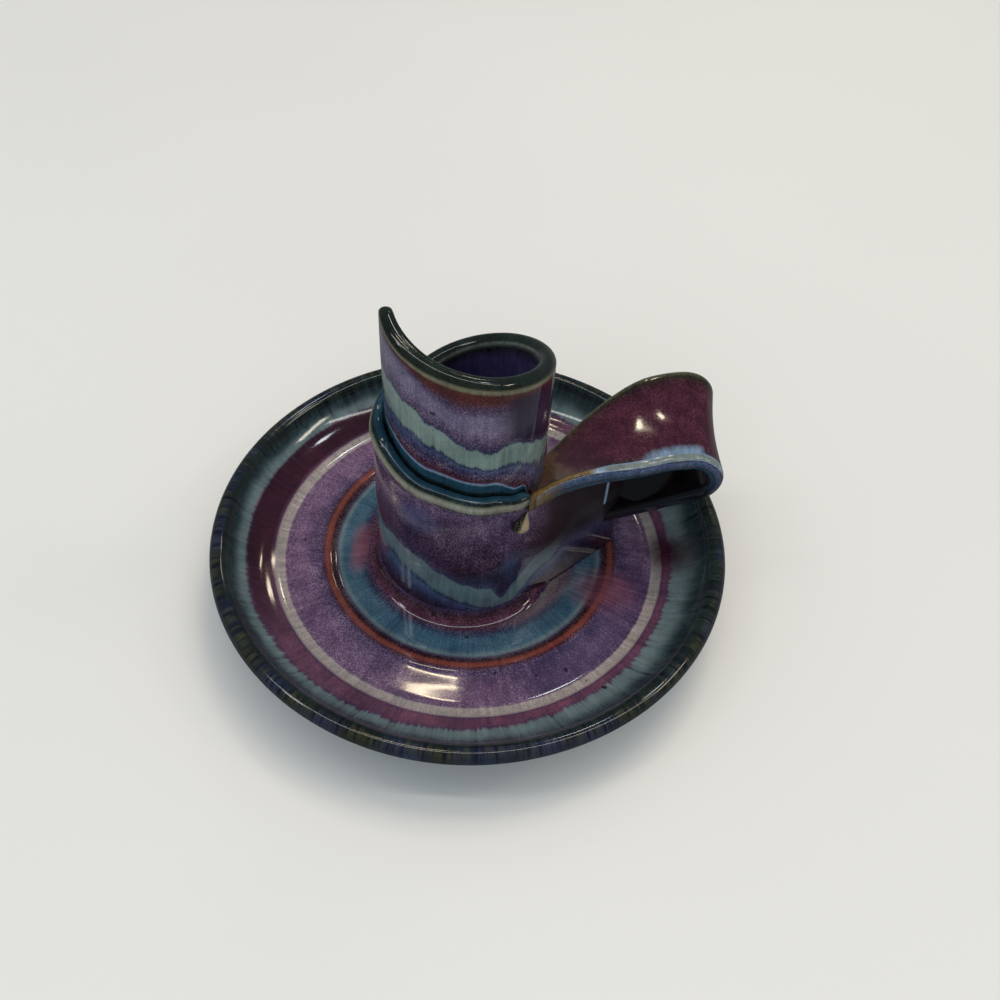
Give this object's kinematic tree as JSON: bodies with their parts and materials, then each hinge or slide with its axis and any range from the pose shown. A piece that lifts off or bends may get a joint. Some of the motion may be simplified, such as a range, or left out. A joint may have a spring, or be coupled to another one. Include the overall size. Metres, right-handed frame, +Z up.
{
  "type": "chamberstick with finger loop",
  "caption": "Glazed stoneware chamberstick: round drip saucer, slab-rolled candle tube with a slanted rim and free tip, sloping outer wrap and a strap finger loop.",
  "frame": {"origin": "centre of the saucer's foot, on the table", "axes": "+Z up along the candle, +X to the right towards the finger loop, +Y away from the viewer of the picture"},
  "size_m": [0.127, 0.127, 0.0875],
  "materials": {
    "saucer_glaze": "glossy banded glaze in purple, cream, red and teal",
    "bare_clay": "unglazed fired stoneware",
    "tube_glaze": "glossy purple glaze with a pale green band and an olive rim",
    "wrap_glaze": "glossy speckled violet glaze with a grey green band",
    "strap_glaze": "glossy plum glaze with pale edges",
    "nib_glaze": "glossy tan glaze",
    "coil_glaze": "glossy maroon glaze"
  },
  "bodies": {
    "root": {"saucer": "saucer_glaze", "foot_ring": "bare_clay", "candle_tube": "tube_glaze", "outer_wrap": "wrap_glaze", "finger_loop": "strap_glaze", "loop_nib": "nib_glaze", "base_coil": "coil_glaze"}
  },
  "joints": []
}
